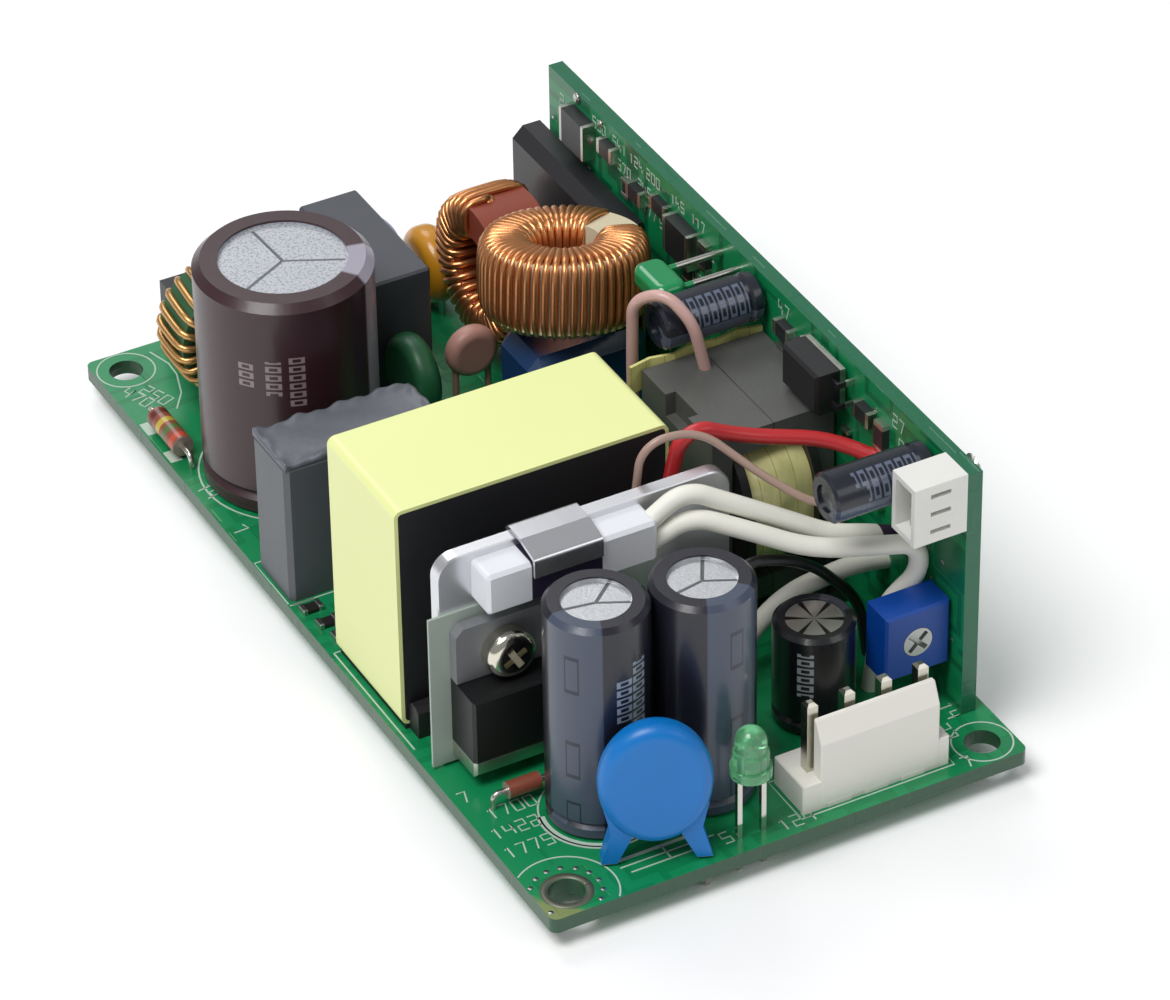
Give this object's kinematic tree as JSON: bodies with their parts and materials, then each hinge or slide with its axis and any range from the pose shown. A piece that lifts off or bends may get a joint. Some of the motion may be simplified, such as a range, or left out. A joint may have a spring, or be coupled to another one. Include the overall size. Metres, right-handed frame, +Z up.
{
  "type": "open frame power supply",
  "caption": "Open frame power supply on a rectangular board with corner mounting holes, tall capacitors, wound chokes, a taped transformer, a heatsink plate and an upright side board.",
  "frame": {"origin": "centre of the main board outline at the level of the lowest solder tips", "axes": "+Y along the long side of the board, from the output header to the mains header; +X towards the upright side board; +Z up from the component side"},
  "size_m": [0.0508, 0.1016, 0.0335],
  "materials": {
    "board": "glass epoxy laminate with green solder mask",
    "solder": "tin solder",
    "can_metal": "drawn aluminium can",
    "bulk_sleeve": "shrunk sleeve, dark maroon",
    "output_sleeve": "shrunk sleeve, near black with a slate band",
    "black_sleeve": "shrunk sleeve, black",
    "grey_box": "moulded box with potting, grey",
    "dark_box": "moulded box with potting, dark grey",
    "blue_box": "moulded box, dark blue",
    "yellow_coat": "dipped epoxy, amber yellow",
    "blue_coat": "dipped epoxy, blue",
    "green_coat": "dipped coating, dark green",
    "pink_coat": "dipped coating, pale brown pink",
    "green_film": "dipped coating, green",
    "bright_blue_coat": "dipped epoxy, bright blue",
    "copper": "enamelled copper wire",
    "cream_core": "coated powder core, cream",
    "red_core": "coated powder core, red brown",
    "green_core": "coated ferrite core, green",
    "ferrite": "sintered ferrite, dark grey",
    "black_plastic": "moulded plastic, black",
    "yellow_tape": "polyester tape, pale yellow",
    "winding_tape": "polyester tape over a winding, yellow",
    "sheet_aluminium": "plain sheet aluminium",
    "insulator": "silicone rubber on glass cloth",
    "mould_epoxy": "moulding compound, black",
    "steel": "zinc plated steel",
    "spring_steel": "bright spring steel",
    "white_plastic": "moulded nylon, white",
    "dark_plastic": "moulded nylon, dark",
    "blue_plastic": "moulded plastic, blue",
    "rotor_metal": "plated steel rotor",
    "tinned_pins": "tin plated brass pins",
    "fuse_coat": "moulded fuse body, dark green",
    "led_green": "tinted clear epoxy, green",
    "resistor_coat": "lacquered film resistors with bands",
    "chip_black": "moulded and ceramic chips",
    "white_sleeve": "silicone sleeve, white",
    "red_insulation": "wire insulation, red",
    "tan_insulation": "wire insulation, tan",
    "pink_insulation": "wire insulation, pale pink",
    "black_insulation": "wire insulation, black"
  },
  "bodies": {
    "supply": {"ac_input_header": "dark_plastic", "axial_resistors": "resistor_coat", "black_wire": "black_insulation", "blue_film_capacitor": "blue_box", "blue_varistor": "blue_coat", "bridge_rectifier": "mould_epoxy", "bulk_capacitor_can": "can_metal", "bulk_capacitor_sleeve": "bulk_sleeve", "cutout_lead_1": "white_sleeve", "cutout_lead_2": "white_sleeve", "daughter_board": "board", "fan_header": "white_plastic", "film_capacitor": "grey_box", "flat_choke_core": "cream_core", "flat_choke_winding": "copper", "fuse": "fuse_coat", "green_film_capacitor": "green_film", "green_thermistor": "green_coat", "header_pins": "tinned_pins", "heatsink": "sheet_aluminium", "insulating_sheet": "insulator", "line_choke_core": "green_core", "line_choke_windings": "copper", "main_board": "board", "optocoupler": "black_plastic", "output_capacitor_can_1": "can_metal", "output_capacitor_can_2": "can_metal", "output_capacitor_sleeve_1": "output_sleeve", "output_capacitor_sleeve_2": "output_sleeve", "output_header": "white_plastic", "pfc_choke_base": "black_plastic", "pfc_choke_body": "black_plastic", "pfc_choke_tape": "yellow_tape", "pink_disc_capacitor": "pink_coat", "pink_wire": "pink_insulation", "power_transistor": "mould_epoxy", "red_wire": "red_insulation", "return_lead": "white_sleeve", "side_capacitor_1": "black_sleeve", "side_capacitor_2": "black_sleeve", "small_output_capacitor": "black_sleeve", "solder_joints": "solder", "spring_clip": "spring_steel", "status_led": "led_green", "surface_mount_parts": "chip_black", "tan_wire": "tan_insulation", "thermal_cutout": "white_plastic", "transformer_bobbin": "black_plastic", "transformer_core_left": "ferrite", "transformer_core_right": "ferrite", "transformer_tape": "winding_tape", "transformer_winding": "winding_tape", "transistor_screw": "steel", "trimmer_body": "blue_plastic", "upright_choke_core": "red_core", "upright_choke_winding": "copper", "x_capacitor": "dark_box", "y_capacitor": "bright_blue_coat", "yellow_varistor": "yellow_coat"},
    "rotor": {"trimmer_rotor": "rotor_metal"}
  },
  "joints": [
    {"name": "trimmer_turn", "type": "hinge", "parent": "supply", "child": "rotor", "pos_m": [0.0188, -0.0413, 0.0125], "axis": [0, -1, 0], "range_deg": [-120, 120]}
  ]
}
